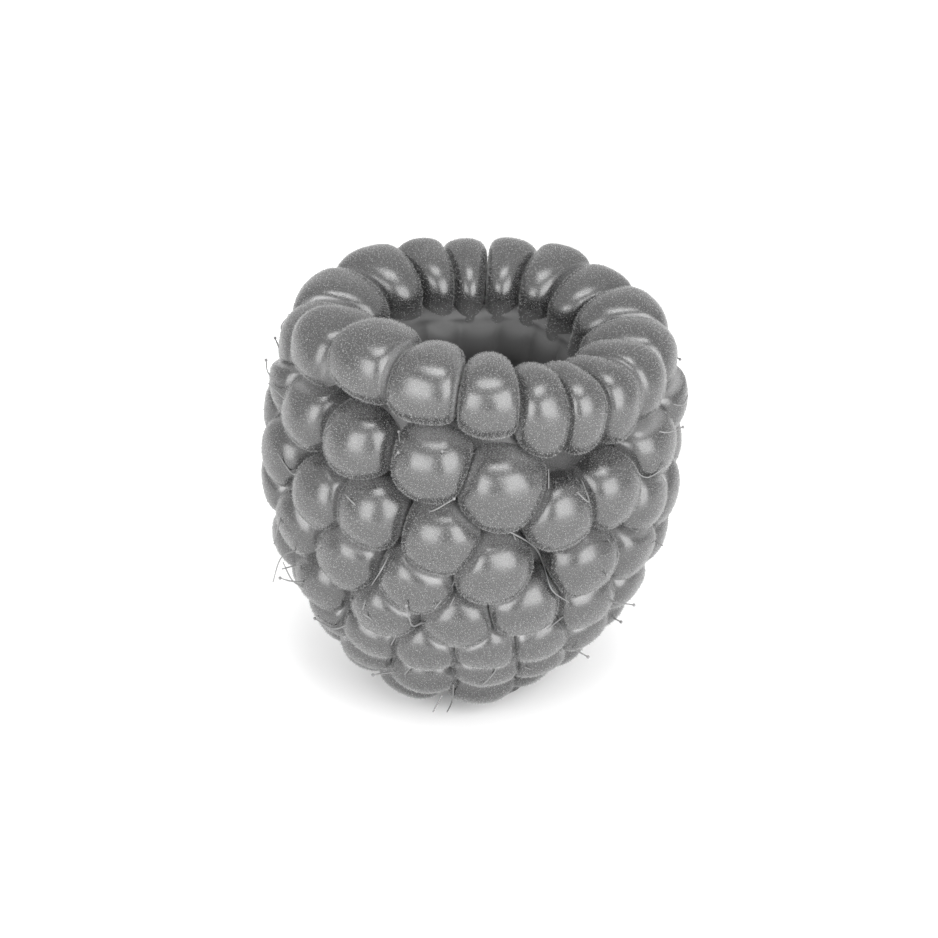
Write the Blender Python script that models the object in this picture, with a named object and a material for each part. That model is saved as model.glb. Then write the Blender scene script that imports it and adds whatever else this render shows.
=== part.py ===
"""A raspberry as picked: one aggregate fruit of drupelets round an open cavity.

The fruit stands on its tip with its mouth up and leans a little to its right.
Lengths are in metres, +Z is up, and the viewer stands on the -Y side.
"""

import math
import random

import bmesh
import bpy
from mathutils import Matrix, Vector

MM = 0.001

# The whole fruit
LEAN = math.radians(4.0)
CENTRE_SHIFT = Vector((-0.95, 0.02, 0.0)) * MM
SEED = 7

# Drupelets of the rim, each a wedge that arches from the skin over and down into the cavity.
# The ring is drawn in on the right by the swing. The inner end is longer by the drop, and
# reaches further into the cavity by the flare.
RIM_RING_RADIUS = 7.85 * MM
RIM_RING_SWING = 0.15 * MM
RIM_THICKNESS = 2.0 * MM
RIM_OVERLAP = 1.5
RIM_INNER_DROP = 4.5 * MM
RIM_INNER_FLARE = 4.4 * MM
RIM_INNER_POWER = 1.5
RIM_LUMP_SIDES = 12
RIM_LUMP_RINGS = 8

# Drupelets of the skin below it, and the small ones of the tip
HALF_WIDTH = 2.3 * MM
HALF_HEIGHT = 2.2 * MM
HALF_DEPTH = 2.3 * MM
TIP_SIZE = 1.05
TIP_RING_RADIUS = 1.9 * MM
TIP_HEIGHT = -0.45 * MM
TIP_COUNT = 3
LUMP_SUBDIVISIONS = 2

# How far the drupelets of the far side stray from even spacing, in degrees and millimetres
FAR_SWING = 2.0
FAR_RISE = 0.3

# Wall of the fruit under the drupelets
WALL_SINK = 1.6 * MM
WALL_HEIGHTS = (1.0, 2.5, 4.5, 7.0, 10.0, 13.0, 15.5, 17.3)
WALL_FOOT = 0.8 * MM
WALL_SIDES = 36

# The wall's top runs inside the rim's drupelets, at two radii and a depth under their crests
WALL_TOP_RADII = (8.5, 6.6)
WALL_UNDER_CREST = 3.1 * MM

# The drupelets' inner ends stand out of the cavity's wall, one every second side
CAVITY_RELIEF = 0.22 * MM

# Height over which the skin's slope is taken, the box that cuts the tip, and the angle up to
# which neighbouring faces are shaded as one curve
SLOPE_REACH = 0.7 * MM
CUTTER_SIDE = 30.0 * MM
SMOOTH_ANGLE = math.radians(45.0)

# Height and radius in millimetres of the skin that the drupelets' crowns lie on
SKIN_OUTLINE = (
    (-0.6, 1.0), (0.0, 3.4), (0.5, 4.4), (1.0, 5.1), (2.0, 6.15), (3.0, 7.0), (4.0, 7.7),
    (5.0, 8.35), (6.0, 8.9), (7.0, 9.35), (9.0, 10.05), (11.0, 10.5), (13.0, 10.7),
    (15.0, 10.6), (17.0, 10.4), (18.0, 10.25), (19.0, 10.0), (20.0, 9.4), (21.0, 8.4),
)

# How far the skin is drawn in on the right and stands out on the left, in millimetres, as
# height, right and left
SIDE_SHIFTS = (
    (0.0, 1.0, 0.0), (1.5, 0.8, 0.0), (3.0, 0.55, 0.0), (5.0, 0.35, 0.0), (8.0, 0.2, 0.1),
    (11.0, 0.15, 0.0), (15.0, 0.1, 0.0), (17.0, 0.0, 0.0),
)

# Height and radius in millimetres of the cavity, from its floor to the foot of the rim
CAVITY_OUTLINE = (
    (7.0, 0.0), (7.2, 1.5), (8.2, 2.5), (9.6, 3.0), (11.0, 3.25), (12.4, 3.5), (13.8, 3.8),
    (15.2, 4.4), (16.4, 5.2),
)

# Rim drupelets: azimuth in degrees, then crest height and the outer end's extra length in mm
RIM = (
    (2, 22.3, -0.8), (20, 21.7, 0.8), (34, 21.4, 0.6), (49, 21.2, 0.6), (65, 21.2, 0.3),
    (88, 20.9, 0.0), (110, 20.9, 0.0), (133, 20.7, 0.0), (152, 20.9, 0.0), (170, 20.65, 0.0),
    (186, 20.4, 0.0), (201, 20.5, 0.0), (221, 20.7, 0.0), (246, 20.6, 0.0), (270, 20.4, 0.0),
    (292, 21.9, -0.6), (317, 22.8, -0.8), (340.5, 22.6, -0.8),
)

# Rows below the rim. Each gives the drupelets of the viewer's side, as azimuth in degrees,
# height in mm and size, then how many share the far side evenly, and their height in mm.
ROWS = (
    (((-86, 17.0, 1.0), (-65, 16.9, 1.0), (-41, 17.0, 0.97), (-15, 17.1, 1.0),
      (7.5, 16.0, 1.1), (26, 14.4, 0.9), (45, 14.9, 0.95), (67, 16.0, 1.0), (90, 17.0, 1.0)),
     7, 16.9),
    (((-98, 14.2, 1.0), (-79, 13.4, 1.0), (-52, 13.2, 0.95), (-33, 13.6, 0.95),
      (-10, 13.0, 1.0), (61, 13.5, 0.95), (77, 12.4, 1.0)), 7, 13.7),
    (((-86, 10.8, 1.0), (-64, 10.3, 1.0), (-41, 10.2, 1.0), (-17, 10.0, 1.0),
      (6, 11.3, 1.0), (38, 10.9, 0.97), (59, 10.4, 1.0), (82, 9.4, 1.0)), 7, 10.6),
    (((-80, 7.9, 1.0), (-57, 7.3, 1.0), (-28, 7.6, 1.0), (-3, 7.8, 1.0), (18, 8.6, 1.0),
      (43, 7.9, 1.0), (67, 7.6, 1.0)), 8, 7.7),
    (((-57, 5.2, 1.0), (-36, 5.2, 1.0), (-14, 5.3, 1.0), (8, 5.9, 1.0), (27, 6.1, 1.0),
      (50, 5.6, 1.0), (75, 5.2, 1.0)), 7, 5.2),
    (((-46, 3.4, 1.0), (-19, 2.7, 1.0), (11, 3.9, 1.0), (35, 4.0, 1.0)), 8, 3.2),
    (((-30, 1.3, 1.0), (13, 1.35, 1.0)), 7, 1.4),
)

# Skin, a mid grey as in the photograph
SKIN_COLOUR = (0.20, 0.20, 0.20, 1.0)
SKIN_ROUGHNESS = 0.42


def clear_scene():
    for obj in list(bpy.data.objects):
        bpy.data.objects.remove(obj, do_unlink=True)


def read_at(pairs, place):
    """Value at a place between the pairs of a table, and the end values beyond its ends."""
    for (low, low_value), (high, high_value) in zip(pairs, pairs[1:]):
        if place <= high:
            share = max(0.0, (place - low) / (high - low))
            return low_value + share * (high_value - low_value)
    return pairs[-1][1]


def skin_radius(azimuth, height):
    """Radius of the skin in metres, at an azimuth in radians and a height in metres."""
    level = height / MM
    side = math.sin(azimuth)
    right = read_at([(place, inward) for place, inward, outward in SIDE_SHIFTS], level)
    left = read_at([(place, outward) for place, inward, outward in SIDE_SHIFTS], level)
    shift = left * max(0.0, -side) - right * max(0.0, side)
    return (read_at(SKIN_OUTLINE, level) + shift) * MM


def crest_at(azimuth):
    """Height of the rim's crest in metres, at an azimuth in radians from 0 to a full turn."""
    first, last = RIM[0], RIM[-1]
    pairs = [(last[0] - 360.0, last[1])]
    pairs += [(place, crest) for place, crest, extra in RIM]
    pairs.append((first[0] + 360.0, first[1]))
    return read_at(pairs, math.degrees(azimuth)) * MM


def radial(azimuth):
    """Level unit vector away from the axis. Azimuth 0 faces the viewer and grows towards +X."""
    return Vector((math.sin(azimuth), -math.cos(azimuth), 0.0))


def upright(height):
    """Vector straight up by a height."""
    return Vector((0.0, 0.0, height))


def outward_normal(azimuth, height):
    """Unit normal of the skin."""
    widening = skin_radius(azimuth, height + SLOPE_REACH)
    widening -= skin_radius(azimuth, height - SLOPE_REACH)
    normal = radial(azimuth) * 2.0 * SLOPE_REACH - upright(widening)
    return normal.normalized()


def new_lump():
    """Ball of few faces with a radius of 1, which a drupelet is pulled into shape from."""
    bm = bmesh.new()
    bmesh.ops.create_icosphere(bm, subdivisions=LUMP_SUBDIVISIONS, radius=1.0)
    return bm


def new_rim_lump():
    """Ball of a radius of 1 whose poles point sideways, so that its rings follow the arch."""
    bm = bmesh.new()
    bmesh.ops.create_uvsphere(
        bm, u_segments=RIM_LUMP_SIDES, v_segments=RIM_LUMP_RINGS, radius=1.0,
        matrix=Matrix.Rotation(math.pi / 2.0, 4, "Y"),
    )
    return bm


def skin_drupelet(azimuth, height, size, turn):
    """Lump whose crown lies on the skin outline and whose root is sunk in the wall."""
    outward = outward_normal(azimuth, height)
    sideways = Vector((math.cos(azimuth), math.sin(azimuth), 0.0))
    along = outward.cross(sideways)
    crown = radial(azimuth) * skin_radius(azimuth, height) + upright(height)
    centre = crown - outward * HALF_DEPTH * size
    bm = new_lump()
    spin = Matrix.Rotation(turn, 3, "Z")
    bmesh.ops.rotate(bm, verts=bm.verts, cent=(0.0, 0.0, 0.0), matrix=spin)
    for vert in bm.verts:
        place = sideways * vert.co.x * HALF_WIDTH + along * vert.co.y * HALF_HEIGHT
        vert.co = centre + (place + outward * vert.co.z * HALF_DEPTH) * size
    return bm


def rim_half_angles():
    """Half the angle that each rim drupelet takes up, from its neighbours on either side."""
    azimuths = [azimuth for azimuth, crest, extra in RIM]
    before = [azimuths[-1] - 360] + azimuths[:-1]
    after = azimuths[1:] + [azimuths[0] + 360]
    return [math.radians((high - low) / 4.0) * RIM_OVERLAP for low, high in zip(before, after)]


def rim_drupelet(azimuth, crest, extra, half_angle):
    """Wedge that widens away from the axis; extra lengthens its lower outer end."""
    middle = crest - RIM_THICKNESS
    ring = RIM_RING_RADIUS - RIM_RING_SWING * math.sin(azimuth)
    bm = new_rim_lump()
    for vert in bm.verts:
        across, away, up = vert.co
        low = max(0.0, -up) ** RIM_INNER_POWER
        inner = max(0.0, -away)
        outer = max(0.0, away)
        radius = ring + away * RIM_THICKNESS - RIM_INNER_FLARE * inner * low
        rise = up * RIM_THICKNESS - low * (RIM_INNER_DROP * inner + extra * outer)
        vert.co = radial(azimuth + across * half_angle) * radius + upright(middle + rise)
    return bm


def row_places(seen, far_count, far_height, draw):
    """Azimuths in radians, heights in metres and sizes of one row, all the way round."""
    places = [(math.radians(azimuth), height * MM, size) for azimuth, height, size in seen]
    first = seen[-1][0]
    step = (seen[0][0] + 360.0 - first) / (far_count + 1)
    for index in range(far_count):
        azimuth = first + step * (index + 1) + draw.uniform(-FAR_SWING, FAR_SWING)
        height = far_height + draw.uniform(-FAR_RISE, FAR_RISE)
        places.append((math.radians(azimuth), height * MM, 1.0))
    return places


def tip_drupelet(index, turn):
    """Small lump at the tip, whose crown is cut off flat by the resting face."""
    azimuth = math.tau * (index + 0.5) / TIP_COUNT
    crown = radial(azimuth) * TIP_RING_RADIUS + upright(TIP_HEIGHT)
    bm = new_lump()
    spin = Matrix.Rotation(turn, 3, "Z")
    bmesh.ops.rotate(bm, verts=bm.verts, cent=(0.0, 0.0, 0.0), matrix=spin)
    for vert in bm.verts:
        vert.co = crown + upright(HALF_DEPTH) + vert.co * HALF_WIDTH * TIP_SIZE
    return bm


def add_piece(name, bm, collection):
    """Object from a mesh being built, with its faces outward."""
    bmesh.ops.recalc_face_normals(bm, faces=bm.faces)
    mesh = bpy.data.meshes.new(name)
    bm.to_mesh(mesh)
    bm.free()
    obj = bpy.data.objects.new(name, mesh)
    collection.objects.link(obj)
    return obj


def add_drupelets(collection):
    draw = random.Random(SEED)
    for seen, far_count, far_height in ROWS:
        for azimuth, height, size in row_places(seen, far_count, far_height, draw):
            turn = draw.uniform(0.0, math.tau)
            add_piece("drupelet", skin_drupelet(azimuth, height, size, turn), collection)
    for index in range(TIP_COUNT):
        turn = draw.uniform(0.0, math.tau)
        add_piece("tip_drupelet", tip_drupelet(index, turn), collection)
    for (azimuth, crest, extra), half_angle in zip(RIM, rim_half_angles()):
        lump = rim_drupelet(math.radians(azimuth), crest * MM, extra * MM, half_angle)
        add_piece("rim_drupelet", lump, collection)


def wall_ring(bm, radius_for, height_for):
    """Ring of points round the axis, whose radius and height are worked out for each side."""
    ring = []
    for side in range(WALL_SIDES):
        azimuth = math.tau * side / WALL_SIDES
        place = radial(azimuth) * radius_for(side, azimuth) + upright(height_for(azimuth))
        ring.append(bm.verts.new(place))
    return ring


def outer_ring(bm, height):
    """Ring under the skin's drupelets."""
    return wall_ring(
        bm, lambda side, azimuth: skin_radius(azimuth, height) - WALL_SINK, lambda azimuth: height
    )


def top_ring(bm, radius):
    """Ring inside the rim's drupelets, which rises and falls with their crests."""
    return wall_ring(
        bm, lambda side, azimuth: radius, lambda azimuth: crest_at(azimuth) - WALL_UNDER_CREST
    )


def cavity_ring(bm, radius, height, first):
    """Ring whose even points, counted from first, stand inward by the relief."""
    return wall_ring(
        bm,
        lambda side, azimuth: radius + CAVITY_RELIEF * (1 if (side + first) % 2 else -1),
        lambda azimuth: height,
    )


def add_wall(collection):
    """Cup under the drupelets, closed at the foot and open at the mouth."""
    bm = bmesh.new()
    rings = [outer_ring(bm, height * MM) for height in WALL_HEIGHTS]
    rings += [top_ring(bm, radius * MM) for radius in WALL_TOP_RADII]
    for level, (height, radius) in enumerate(reversed(CAVITY_OUTLINE[1:])):
        rings.append(cavity_ring(bm, radius * MM, height * MM, level))
    for lower, upper in zip(rings, rings[1:]):
        for side in range(WALL_SIDES):
            after = (side + 1) % WALL_SIDES
            bm.faces.new((lower[side], lower[after], upper[after], upper[side]))
    for ring, height in ((rings[0], WALL_FOOT), (rings[-1], CAVITY_OUTLINE[0][0] * MM)):
        pole = bm.verts.new((0.0, 0.0, height))
        for side in range(WALL_SIDES):
            bm.faces.new((ring[side], ring[(side + 1) % WALL_SIDES], pole))
    bmesh.ops.triangulate(bm, faces=bm.faces)
    return add_piece("raspberry", bm, collection)


def apply_boolean(obj, operation, cutter=None, group=None):
    modifier = obj.modifiers.new("Boolean", "BOOLEAN")
    modifier.operation = operation
    if group:
        modifier.operand_type = "COLLECTION"
        modifier.collection = group
    else:
        modifier.object = cutter
    graph = bpy.context.evaluated_depsgraph_get()
    joined = bpy.data.meshes.new_from_object(obj.evaluated_get(graph))
    obj.modifiers.clear()
    obj.data = joined


def cut_resting_face(obj, collection):
    """Cut the tip off level, so that the fruit stands on a small flat spot."""
    bm = bmesh.new()
    bmesh.ops.create_cube(bm, size=CUTTER_SIDE)
    bmesh.ops.translate(bm, verts=bm.verts, vec=(0.0, 0.0, -CUTTER_SIDE / 2.0))
    cutter = add_piece("tip_cutter", bm, collection)
    apply_boolean(obj, "DIFFERENCE", cutter=cutter)
    bpy.data.objects.remove(cutter, do_unlink=True)


def skin_material():
    material = bpy.data.materials.new("raspberry_skin")
    material.use_nodes = True
    shader = material.node_tree.nodes["Principled BSDF"]
    shader.inputs["Base Color"].default_value = SKIN_COLOUR
    shader.inputs["Roughness"].default_value = SKIN_ROUGHNESS
    shader.inputs["Metallic"].default_value = 0.0
    return material


def make_raspberry():
    scene = bpy.context.scene
    lumps = bpy.data.collections.new("drupelets")
    scene.collection.children.link(lumps)
    add_drupelets(lumps)
    fruit = add_wall(scene.collection)
    apply_boolean(fruit, "UNION", group=lumps)
    for lump in list(lumps.objects):
        bpy.data.objects.remove(lump, do_unlink=True)
    bpy.data.collections.remove(lumps)
    fruit.data.transform(Matrix.Rotation(LEAN, 4, "Y"))
    fruit.data.transform(Matrix.Translation(CENTRE_SHIFT))
    cut_resting_face(fruit, scene.collection)
    fruit.data.materials.clear()
    fruit.data.materials.append(skin_material())
    fruit.data.shade_smooth()
    fruit.data.set_sharp_from_angle(angle=SMOOTH_ANGLE)
    return fruit


def main():
    clear_scene()
    make_raspberry()


if __name__ == "__main__":
    main()
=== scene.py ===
"""A raspberry as picked: its pressed drupelets, down, dry styles, and a plain studio.

The fruit stands on its tip with the open cavity up and leans a little to its right. The
classes work in millimetres round the fruit's own upright axis, with azimuth 0 at the viewer
and growing towards +X. Each mesh is leaned, set down and brought to metres when it is made.
"""

from __future__ import annotations

import logging
import math
import random
from collections.abc import Iterable, Sequence
from dataclasses import dataclass, field
from enum import Enum

import bmesh
import bpy
import numpy as np
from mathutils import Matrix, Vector, noise
from mathutils.bvhtree import BVHTree

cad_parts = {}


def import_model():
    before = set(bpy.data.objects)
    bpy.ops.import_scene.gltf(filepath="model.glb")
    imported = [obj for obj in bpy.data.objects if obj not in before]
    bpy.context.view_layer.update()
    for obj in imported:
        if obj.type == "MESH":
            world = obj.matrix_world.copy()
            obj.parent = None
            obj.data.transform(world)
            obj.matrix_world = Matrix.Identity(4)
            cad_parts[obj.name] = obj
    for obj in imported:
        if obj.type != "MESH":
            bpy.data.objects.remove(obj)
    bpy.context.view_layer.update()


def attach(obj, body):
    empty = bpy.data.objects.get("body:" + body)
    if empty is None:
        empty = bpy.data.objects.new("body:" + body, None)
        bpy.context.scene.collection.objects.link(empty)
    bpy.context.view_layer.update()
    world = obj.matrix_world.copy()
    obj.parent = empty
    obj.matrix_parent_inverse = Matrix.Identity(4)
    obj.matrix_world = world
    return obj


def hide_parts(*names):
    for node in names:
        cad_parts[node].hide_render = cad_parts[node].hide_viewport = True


LOG = logging.getLogger("raspberry")
NODE = "raspberry"
BODY = "root"

MM = 0.001
LEAN = math.radians(4.0)
CENTRE_SHIFT = np.array((-0.95, 0.02, 0.0))
SEED = 7

Pair = tuple[float, float]

# Height and radius of the skin that the drupelets' crowns lie on
SKIN_OUTLINE: tuple[Pair, ...] = (
    (-0.6, 1.0), (0.0, 3.4), (0.5, 4.4), (1.0, 5.1), (2.0, 6.15), (3.0, 7.0), (4.0, 7.7),
    (5.0, 8.35), (6.0, 8.9), (7.0, 9.35), (9.0, 10.05), (11.0, 10.5), (13.0, 10.7),
    (15.0, 10.6), (17.0, 10.4), (18.0, 10.25), (19.0, 10.0), (20.0, 9.4), (21.0, 8.4),
)

# How far the skin is drawn in on the right and stands out on the left: (height, right, left)
SIDE_SHIFTS: tuple[tuple[float, float, float], ...] = (
    (0.0, 1.0, 0.0), (1.5, 0.8, 0.0), (3.0, 0.55, 0.0), (5.0, 0.35, 0.0), (8.0, 0.2, 0.1),
    (11.0, 0.15, 0.0), (15.0, 0.1, 0.0), (17.0, 0.0, 0.0),
)

# Height and radius of the cavity, from its floor to the foot of the rim
CAVITY_OUTLINE: tuple[Pair, ...] = (
    (7.0, 0.0), (7.2, 1.5), (8.2, 2.5), (9.6, 3.0), (11.0, 3.35), (12.4, 3.7), (13.8, 4.0),
    (15.0, 4.2), (16.0, 4.35), (17.0, 4.55), (17.8, 4.9),
)

# Rim drupelets: azimuth in degrees, crest height, and the outer end's extra length
RIM_PLACES: tuple[tuple[float, float, float], ...] = (
    (2, 22.3, -0.4), (20, 21.7, 1.2), (34, 21.4, 0.9), (49, 21.2, 0.8), (65, 21.2, 0.3),
    (88, 20.9, 0.0), (110, 20.9, 0.0), (133, 20.7, 0.0), (152, 20.9, 0.0), (170, 20.65, 0.0),
    (186, 20.4, 0.0), (201, 20.5, 0.0), (221, 20.7, 0.0), (246, 20.6, 0.0), (270, 20.4, 0.0),
    (292, 21.9, -0.4), (317, 22.8, -0.5), (340.5, 22.6, -0.4),
)

# Rows below the rim: (azimuth, height, size) of the drupelets on the viewer's side, then how
# many share the far side evenly, and their height
ROW_PLACES: tuple[tuple[tuple[tuple[float, float, float], ...], int, float], ...] = (
    (((-86, 17.0, 1.0), (-65, 16.9, 1.0), (-41, 17.0, 0.97), (-15, 17.1, 1.0),
      (7.5, 16.0, 1.1), (26, 14.4, 0.9), (45, 14.9, 0.95), (67, 16.0, 1.0), (90, 17.0, 1.0)),
     7, 16.9),
    (((-98, 14.2, 1.0), (-79, 13.4, 1.0), (-52, 13.2, 0.95), (-33, 13.6, 0.95),
      (-10, 13.0, 1.0), (61, 13.5, 0.95), (77, 12.4, 1.0)), 7, 13.7),
    (((-86, 10.8, 1.0), (-64, 10.3, 1.0), (-41, 10.2, 1.0), (-17, 10.0, 1.0),
      (6, 11.3, 1.0), (38, 10.9, 0.97), (59, 10.4, 1.0), (82, 9.4, 1.0)), 7, 10.6),
    (((-80, 7.9, 1.0), (-57, 7.3, 1.0), (-28, 7.6, 1.0), (-3, 7.8, 1.0), (18, 8.6, 1.0),
      (43, 7.9, 1.0), (67, 7.6, 1.0)), 8, 7.7),
    (((-57, 5.2, 1.0), (-36, 5.2, 1.0), (-14, 5.3, 1.0), (8, 5.9, 1.0), (27, 6.1, 1.0),
      (50, 5.6, 1.0), (75, 5.2, 1.0)), 7, 5.2),
    (((-46, 3.4, 1.0), (-19, 2.7, 1.0), (11, 3.9, 1.0), (35, 4.0, 1.0)), 8, 3.2),
    (((-30, 1.3, 1.0), (13, 1.35, 1.0)), 7, 1.4),
)

# A drupelet of the skin is on the far side where its outward vector's Y is above this
FAR_SIDE = 0.1

# The styles that the picture shows, in picture points from the free end to the root. Each
# starts with whether its free end has a knob.
STYLE_PLACES: tuple[tuple[bool | Pair, ...], ...] = (
    (True, (275, 338), (279, 350)), (True, (266, 360), (272, 375), (290, 386)),
    (False, (271, 383), (285, 400)), (False, (328, 430), (353, 404)),
    (True, (401, 433), (400, 450)), (True, (400, 453), (393, 458)),
    (True, (442, 452), (474, 455), (479, 448)), (False, (688, 395), (680, 405), (670, 403)),
    (True, (683, 427), (665, 433), (648, 428)), (False, (279, 453), (292, 472), (300, 473)),
    (False, (348, 497), (363, 513)), (True, (453, 497), (433, 512), (427, 507)),
    (False, (274, 544), (280, 515)), (False, (273, 582), (281, 558), (296, 551)),
    (False, (283, 562), (292, 580), (303, 588)), (True, (280, 578), (290, 581), (304, 583)),
    (False, (282, 569), (298, 566), (306, 563)), (False, (318, 550), (336, 533)),
    (False, (370, 583), (383, 571), (391, 550)), (False, (434, 607), (453, 580), (450, 567)),
    (False, (364, 609), (367, 594)), (False, (365, 613), (373, 621)),
    (True, (407, 604), (411, 624), (422, 622)), (False, (455, 598), (449, 607)),
    (False, (390, 644), (400, 630)), (True, (317, 617), (335, 627), (350, 623)),
    (True, (373, 675), (395, 672)), (False, (411, 666), (404, 675)),
    (False, (433, 712), (442, 695)), (False, (447, 712), (454, 697), (454, 680)),
    (False, (546, 470), (548, 490)), (False, (576, 493), (587, 502), (580, 478)),
    (True, (664, 465), (645, 479), (628, 462)),
    (False, (569, 602), (550, 590), (541, 564), (530, 546), (505, 530)),
    (False, (512, 535), (517, 541)), (False, (606, 540), (620, 555)),
    (False, (663, 546), (655, 540)), (True, (634, 605), (612, 602)),
    (True, (621, 622), (613, 618)), (False, (546, 627), (563, 617)),
    (True, (588, 657), (571, 648)), (False, (605, 573), (608, 577)),
    (False, (525, 666), (540, 673)), (False, (480, 685), (495, 670), (491, 661)),
)


class Lobe(Enum):
    """Where on the fruit a drupelet grows."""

    RIM = "rim"
    SKIN = "skin"
    TIP = "tip"


def radius_at(outline: Sequence[Pair], height: float) -> float:
    """Radius of an outline at a height.

    Args:
        outline: Pairs of height and radius, from low to high.
        height: Height asked for.

    Returns:
        The radius there.
    """
    heights, radii = zip(*outline)
    return float(np.interp(height, heights, radii))


def skin_radius(azimuth: float, height: float) -> float:
    """Radius of the skin, which is drawn in on the right and stands out on the left.

    Args:
        azimuth: Azimuth in radians.
        height: Height asked for.

    Returns:
        The radius there.
    """
    heights, right, left = zip(*SIDE_SHIFTS)
    side = math.sin(azimuth)
    shift = np.interp(height, heights, left) * max(0.0, -side)
    shift -= np.interp(height, heights, right) * max(0.0, side)
    return radius_at(SKIN_OUTLINE, height) + float(shift)


def radial(azimuth: float) -> np.ndarray:
    """Level unit vector away from the axis at an azimuth in radians."""
    return np.array((math.sin(azimuth), -math.cos(azimuth), 0.0))


def sideways(azimuth: float) -> np.ndarray:
    """Level unit vector along the skin at an azimuth in radians."""
    return np.array((math.cos(azimuth), math.sin(azimuth), 0.0))


def unit(vector: np.ndarray) -> np.ndarray:
    """A vector brought to a length of 1."""
    return vector / np.linalg.norm(vector)


def set_down(points: np.ndarray, flatten: bool = True) -> np.ndarray:
    """Leans the fruit and stands it on its tip.

    Args:
        points: Points in millimetres round the upright axis.
        flatten: Whether what would reach below the ground is pressed flat on it.

    Returns:
        The points in metres, in the part's frame.
    """
    cosine, sine = math.cos(LEAN), math.sin(LEAN)
    turned = np.array(
        (
            points[:, 0] * cosine + points[:, 2] * sine,
            points[:, 1],
            points[:, 2] * cosine - points[:, 0] * sine,
        )
    ).T
    turned += CENTRE_SHIFT
    if flatten:
        turned[:, 2] = np.maximum(turned[:, 2], 0.0)
    return turned * MM


def ball(side: int) -> tuple[np.ndarray, np.ndarray]:
    """Even ball of quads, made from a cube's six faces.

    Args:
        side: Quads along each edge of the cube.

    Returns:
        Unit vectors of the corners, and the quads as rows of four indices.
    """
    steps = np.tan(np.linspace(-math.pi / 4, math.pi / 4, side + 1))
    first, second = np.meshgrid(steps, steps, indexing="ij")
    level = np.ones_like(first)
    corners, quads = [], []
    for axis in range(3):
        for sign in (1.0, -1.0):
            face = np.empty((side + 1, side + 1, 3))
            face[..., axis] = level * sign
            face[..., (axis + 1) % 3] = first * sign
            face[..., (axis + 2) % 3] = second
            index = np.arange((side + 1) ** 2).reshape(side + 1, side + 1)
            index = index + len(corners) * (side + 1) ** 2
            quads.append(
                np.stack(
                    (index[:-1, :-1], index[1:, :-1], index[1:, 1:], index[:-1, 1:]), axis=-1
                ).reshape(-1, 4)
            )
            corners.append(face.reshape(-1, 3))
    points = np.concatenate(corners)
    points /= np.linalg.norm(points, axis=1)[:, None]
    kept, index = np.unique(np.round(points, 6), axis=0, return_inverse=True)
    return kept / np.linalg.norm(kept, axis=1)[:, None], index.reshape(-1)[np.concatenate(quads)]


@dataclass
class Drupelet:
    """One juicy lobe, a ball that its neighbours press into shape."""

    lobe: Lobe
    crown: np.ndarray
    centre: np.ndarray
    outward: np.ndarray
    across: np.ndarray
    along: np.ndarray
    depth: Pair
    width: float
    height: Pair
    weight: float = 1.0
    fullness: float = 2.15
    planes: list[tuple[np.ndarray, float]] = field(default_factory=list)

    def reach(self, local: np.ndarray) -> np.ndarray:
        """How far out of the unpressed lobe points lie.

        Args:
            local: Points as out, across and up from the lobe's centre.

        Returns:
            A number for each point, 1 being the lobe's surface.
        """
        out, side, up = local.T
        deep = np.where(out > 0.0, self.depth[0], self.depth[1])
        tall = np.where(up > 0.0, self.height[0], self.height[1])
        power = self.fullness
        total = np.abs(out / deep) ** power + np.abs(side / self.width) ** power
        return (total + np.abs(up / tall) ** power) ** (1.0 / power)

    def local(self, points: np.ndarray) -> np.ndarray:
        """Points seen from the lobe's centre, as out, across and up."""
        return (points - self.centre) @ np.array((self.outward, self.across, self.along)).T

    def world(self, local: np.ndarray) -> np.ndarray:
        """Local points brought back to the fruit."""
        return self.centre + local @ np.array((self.outward, self.across, self.along))

    def squeeze(self, local: np.ndarray) -> np.ndarray:
        """The sides of a rim lobe against its neighbours, as pressures that add up."""
        return np.zeros(len(local))

    def bearing(self, local: np.ndarray) -> np.ndarray:
        """How much the lobes of other rows press on each local point, from 0 to 1."""
        return np.ones(len(local))

    def surface(self, directions: np.ndarray, sharp: float) -> tuple[np.ndarray, np.ndarray]:
        """The pressed surface.

        Args:
            directions: Unit vectors in the lobe's own axes.
            sharp: How tightly the lobe fills the corners between its neighbours.

        Returns:
            The points, and how much each one is pressed by a neighbour, from 0 to 1.
        """
        local = directions / self.reach(directions)[:, None]
        points = self.world(local)
        pressed = self.squeeze(local) ** sharp
        bearing = self.bearing(local)
        for normal, distance in self.planes:
            touch = np.maximum(0.0, (points - self.centre) @ normal) / distance
            pressed = pressed + (touch * bearing) ** sharp
        shrunk = local * ((1.0 + pressed) ** (-1.0 / sharp))[:, None]
        return self.world(shrunk), pressed / (1.0 + pressed)

    def holds(self, points: np.ndarray) -> np.ndarray:
        """Which points lie inside the pressed lobe.

        Args:
            points: Points of the fruit.

        Returns:
            True for each point inside.
        """
        local = self.local(points)
        inside = (self.reach(local) < 1.0) & (self.squeeze(local) < 1.0)
        bearing = self.bearing(local)
        for normal, distance in self.planes:
            inside &= ((points - self.centre) @ normal) * bearing < distance
        return inside


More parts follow.
